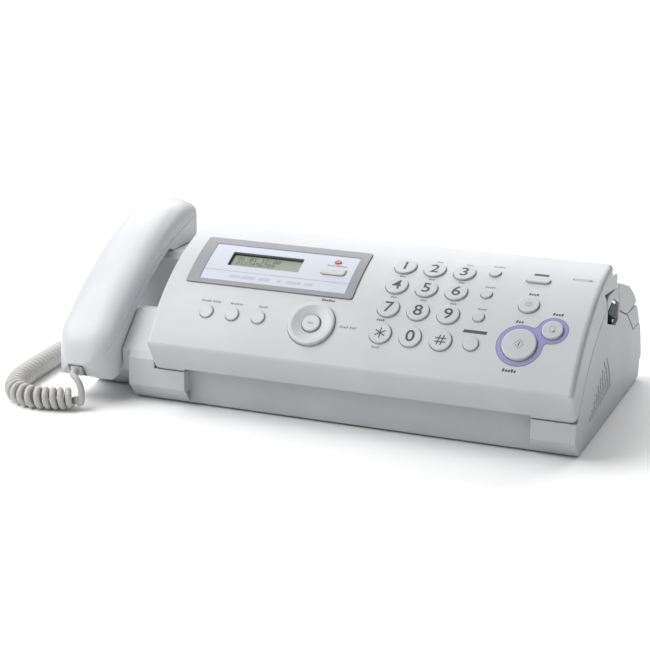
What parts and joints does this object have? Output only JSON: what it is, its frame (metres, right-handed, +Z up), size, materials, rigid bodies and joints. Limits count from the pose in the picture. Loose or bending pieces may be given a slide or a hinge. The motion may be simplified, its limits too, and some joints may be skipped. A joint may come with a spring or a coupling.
{
  "type": "fax machine",
  "caption": "Desktop plain-paper fax machine with a hinged keypad cover, a display, and a corded handset in a cradle at its left.",
  "frame": {"origin": "middle of the machine's footprint (casing and handset, without the coiled cord), on the surface it stands on", "axes": "+X to the machine's right as its user sees it, +Y to its rear, +Z up"},
  "size_m": [0.402, 0.2374, 0.1161],
  "materials": {
    "casing_plastic": "fine matt texture",
    "handset_plastic": "smooth satin",
    "key_plastic": "smooth satin",
    "display_frame": "satin",
    "lcd_glass": "smooth",
    "lamp_lens": "clear tinted lens",
    "lever_plastic": "satin",
    "bottom_plastic": "fine matt texture",
    "foot_rubber": "matt",
    "roller_rubber": "ground matt",
    "screw_steel": "zinc plated",
    "circuit_board": "solder mask",
    "speaker_black": "matt",
    "socket_black": "matt",
    "head_metal": "extruded",
    "motor_steel": "zinc plated",
    "gear_plastic": "satin",
    "ink_film": "glossy film",
    "cord_plastic": "semi gloss",
    "plug_plastic": "clear moulded"
  },
  "bodies": {
    "base": {"main_casing": "casing_plastic", "base_plate": "bottom_plastic", "rubber_feet": "foot_rubber", "casing_screws": "screw_steel", "main_board": "circuit_board", "loudspeaker": "speaker_black", "sockets": "socket_black", "thermal_head": "head_metal", "drive_motor": "motor_steel", "rear_paper_guide": "casing_plastic", "cord_coil": "cord_plastic", "cord_tail": "cord_plastic", "base_plug": "plug_plastic"},
    "hook_plunger": {"hook_switch": "handset_plastic"},
    "platen": {"platen_roller": "roller_rubber", "platen_gear": "gear_plastic"},
    "film_supply": {"film_supply_roll": "ink_film"},
    "film_takeup": {"film_takeup_roll": "ink_film"},
    "document_feed": {"feed_roller": "roller_rubber"},
    "lever": {"release_lever": "lever_plastic"},
    "rear_cover": {"back_cover": "casing_plastic"},
    "guide_left": {"document_guide_left": "casing_plastic"},
    "guide_right": {"document_guide_right": "casing_plastic"},
    "front": {"front_cover": "casing_plastic", "display_panel": "display_frame", "lcd_module": "lcd_glass", "answer_lamp": "lamp_lens", "keypad_board": "circuit_board", "image_sensor": "head_metal"},
    "handset": {"handset_back": "handset_plastic", "handset_face": "handset_plastic", "handset_capsules": "speaker_black", "handset_plug": "plug_plastic", "cord_lead": "cord_plastic"},
    "key_1_body": {"key_1": "key_plastic"},
    "key_2_body": {"key_2": "key_plastic"},
    "key_3_body": {"key_3": "key_plastic"},
    "key_4_body": {"key_4": "key_plastic"},
    "key_5_body": {"key_5": "key_plastic"},
    "key_6_body": {"key_6": "key_plastic"},
    "key_7_body": {"key_7": "key_plastic"},
    "key_8_body": {"key_8": "key_plastic"},
    "key_9_body": {"key_9": "key_plastic"},
    "key_star_body": {"key_star": "key_plastic"},
    "key_0_body": {"key_0": "key_plastic"},
    "key_hash_body": {"key_hash": "key_plastic"},
    "redial_key_body": {"redial_key": "key_plastic"},
    "flash_key_body": {"flash_key": "key_plastic"},
    "mute_key_body": {"mute_key": "key_plastic"},
    "monitor_key_body": {"monitor_key": "key_plastic"},
    "caller_id_key_body": {"caller_id_key": "key_plastic"},
    "stop_key_body": {"stop_key": "key_plastic"},
    "copy_key_body": {"copy_key": "key_plastic"},
    "start_key_body": {"start_key": "key_plastic"},
    "broadcast_key_body": {"broadcast_key": "key_plastic"},
    "report_key_body": {"report_key": "key_plastic"},
    "menu_key_body": {"menu_key": "key_plastic"},
    "set_key_body": {"set_key": "key_plastic"},
    "navigator_key_body": {"navigator_key": "key_plastic"},
    "auto_answer_key_body": {"auto_answer_key": "key_plastic"}
  },
  "joints": [
    {"name": "front_cover_hinge", "type": "hinge", "parent": "base", "child": "front", "pos_m": [0.0335, 0.00725, 0.0945], "axis": [-1, 0, 0], "range_deg": [0, 50]},
    {"name": "back_cover_hinge", "type": "hinge", "parent": "base", "child": "rear_cover", "pos_m": [0.0335, 0.07975, 0.0587], "axis": [-1, 0, 0], "range_deg": [0, 70]},
    {"name": "release_lever_pivot", "type": "hinge", "parent": "base", "child": "lever", "pos_m": [0.1735, 0.01575, 0.06], "axis": [1, 0, 0], "range_deg": [0, 5], "stiffness_Nm_per_rad": 0.3, "springref_deg": -5.73},
    {"name": "handset_lift", "type": "slide", "parent": "base", "child": "handset", "axis": [0, 0, 1], "range_m": [0, 0.12]},
    {"name": "hook_switch_slide", "type": "slide", "parent": "base", "child": "hook_plunger", "axis": [0, 0, 1], "range_m": [0, 0.004]},
    {"name": "platen_spin", "type": "hinge", "parent": "base", "child": "platen", "pos_m": [0.0335, 0.00625, 0.052], "axis": [1, 0, 0], "continuous": true},
    {"name": "film_takeup_spin", "type": "hinge", "parent": "base", "child": "film_takeup", "pos_m": [0.0335, -0.02825, 0.0418], "axis": [1, 0, 0], "continuous": true},
    {"name": "film_supply_spin", "type": "hinge", "parent": "base", "child": "film_supply", "pos_m": [0.0335, 0.04625, 0.036], "axis": [1, 0, 0], "continuous": true},
    {"name": "document_feed_spin", "type": "hinge", "parent": "base", "child": "document_feed", "pos_m": [0.0335, -0.01935, 0.0716], "axis": [1, 0, 0], "continuous": true},
    {"name": "guide_left_slide", "type": "slide", "parent": "rear_cover", "child": "guide_left", "axis": [1, 0, 0], "range_m": [0, 0.04]},
    {"name": "guide_right_slide", "type": "slide", "parent": "rear_cover", "child": "guide_right", "axis": [-1, 0, 0], "range_m": [0, 0.04]},
    {"name": "key_1_press", "type": "slide", "parent": "front", "child": "key_1_body", "axis": [0, 0.3907, -0.9205], "range_m": [0, 0.001], "stiffness_N_per_m": 400, "springref_m": -0.001},
    {"name": "key_2_press", "type": "slide", "parent": "front", "child": "key_2_body", "axis": [0, 0.3907, -0.9205], "range_m": [0, 0.001], "stiffness_N_per_m": 400, "springref_m": -0.001},
    {"name": "key_3_press", "type": "slide", "parent": "front", "child": "key_3_body", "axis": [0, 0.3907, -0.9205], "range_m": [0, 0.001], "stiffness_N_per_m": 400, "springref_m": -0.001},
    {"name": "key_4_press", "type": "slide", "parent": "front", "child": "key_4_body", "axis": [0, 0.506, -0.8625], "range_m": [0, 0.001], "stiffness_N_per_m": 400, "springref_m": -0.001},
    {"name": "key_5_press", "type": "slide", "parent": "front", "child": "key_5_body", "axis": [0, 0.506, -0.8625], "range_m": [0, 0.001], "stiffness_N_per_m": 400, "springref_m": -0.001},
    {"name": "key_6_press", "type": "slide", "parent": "front", "child": "key_6_body", "axis": [0, 0.506, -0.8625], "range_m": [0, 0.001], "stiffness_N_per_m": 400, "springref_m": -0.001},
    {"name": "key_7_press", "type": "slide", "parent": "front", "child": "key_7_body", "axis": [0, 0.6143, -0.7891], "range_m": [0, 0.001], "stiffness_N_per_m": 400, "springref_m": -0.001},
    {"name": "key_8_press", "type": "slide", "parent": "front", "child": "key_8_body", "axis": [0, 0.6143, -0.7891], "range_m": [0, 0.001], "stiffness_N_per_m": 400, "springref_m": -0.001},
    {"name": "key_9_press", "type": "slide", "parent": "front", "child": "key_9_body", "axis": [0, 0.6143, -0.7891], "range_m": [0, 0.001], "stiffness_N_per_m": 400, "springref_m": -0.001},
    {"name": "key_star_press", "type": "slide", "parent": "front", "child": "key_star_body", "axis": [0, 0.7133, -0.7009], "range_m": [0, 0.001], "stiffness_N_per_m": 400, "springref_m": -0.001},
    {"name": "key_0_press", "type": "slide", "parent": "front", "child": "key_0_body", "axis": [0, 0.7133, -0.7009], "range_m": [0, 0.001], "stiffness_N_per_m": 400, "springref_m": -0.001},
    {"name": "key_hash_press", "type": "slide", "parent": "front", "child": "key_hash_body", "axis": [0, 0.7133, -0.7009], "range_m": [0, 0.001], "stiffness_N_per_m": 400, "springref_m": -0.001},
    {"name": "redial_key_press", "type": "slide", "parent": "front", "child": "redial_key_body", "axis": [0, 0.3697, -0.9291], "range_m": [0, 0.001], "stiffness_N_per_m": 400, "springref_m": -0.001},
    {"name": "flash_key_press", "type": "slide", "parent": "front", "child": "flash_key_body", "axis": [0, 0.4985, -0.8669], "range_m": [0, 0.001], "stiffness_N_per_m": 400, "springref_m": -0.001},
    {"name": "mute_key_press", "type": "slide", "parent": "front", "child": "mute_key_body", "axis": [0, 0.6088, -0.7934], "range_m": [0, 0.001], "stiffness_N_per_m": 400, "springref_m": -0.001},
    {"name": "monitor_key_press", "type": "slide", "parent": "front", "child": "monitor_key_body", "axis": [0, 0.712, -0.7022], "range_m": [0, 0.001], "stiffness_N_per_m": 400, "springref_m": -0.001},
    {"name": "caller_id_key_press", "type": "slide", "parent": "front", "child": "caller_id_key_body", "axis": [0, 0.3875, -0.9219], "range_m": [0, 0.001], "stiffness_N_per_m": 400, "springref_m": -0.001},
    {"name": "stop_key_press", "type": "slide", "parent": "front", "child": "stop_key_body", "axis": [0, 0.5299, -0.848], "range_m": [0, 0.001], "stiffness_N_per_m": 400, "springref_m": -0.001},
    {"name": "copy_key_press", "type": "slide", "parent": "front", "child": "copy_key_body", "axis": [0, 0.6293, -0.7771], "range_m": [0, 0.001], "stiffness_N_per_m": 400, "springref_m": -0.001},
    {"name": "start_key_press", "type": "slide", "parent": "front", "child": "start_key_body", "axis": [0, 0.6959, -0.7181], "range_m": [0, 0.001], "stiffness_N_per_m": 400, "springref_m": -0.001},
    {"name": "broadcast_key_press", "type": "slide", "parent": "front", "child": "broadcast_key_body", "axis": [0, 0.7096, -0.7046], "range_m": [0, 0.001], "stiffness_N_per_m": 400, "springref_m": -0.001},
    {"name": "report_key_press", "type": "slide", "parent": "front", "child": "report_key_body", "axis": [0, 0.7096, -0.7046], "range_m": [0, 0.001], "stiffness_N_per_m": 400, "springref_m": -0.001},
    {"name": "menu_key_press", "type": "slide", "parent": "front", "child": "menu_key_body", "axis": [0, 0.7096, -0.7046], "range_m": [0, 0.001], "stiffness_N_per_m": 400, "springref_m": -0.001},
    {"name": "set_key_press", "type": "slide", "parent": "front", "child": "set_key_body", "axis": [0, 0.7083, -0.7059], "range_m": [0, 0.001], "stiffness_N_per_m": 400, "springref_m": -0.001},
    {"name": "navigator_key_press", "type": "slide", "parent": "front", "child": "navigator_key_body", "axis": [0, 0.7083, -0.7059], "range_m": [0, 0.0008], "stiffness_N_per_m": 400, "springref_m": -0.001},
    {"name": "auto_answer_key_press", "type": "slide", "parent": "front", "child": "auto_answer_key_body", "axis": [0, 0.471, -0.8821], "range_m": [0, 0.001], "stiffness_N_per_m": 400, "springref_m": -0.001}
  ],
  "couplings": [
    {"joint": "film_takeup_spin", "follows": "platen_spin", "ratio": -0.63636},
    {"joint": "hook_switch_slide", "follows": "handset_lift", "ratio": 0.033333},
    {"joint": "guide_right_slide", "follows": "guide_left_slide", "ratio": 1}
  ]
}
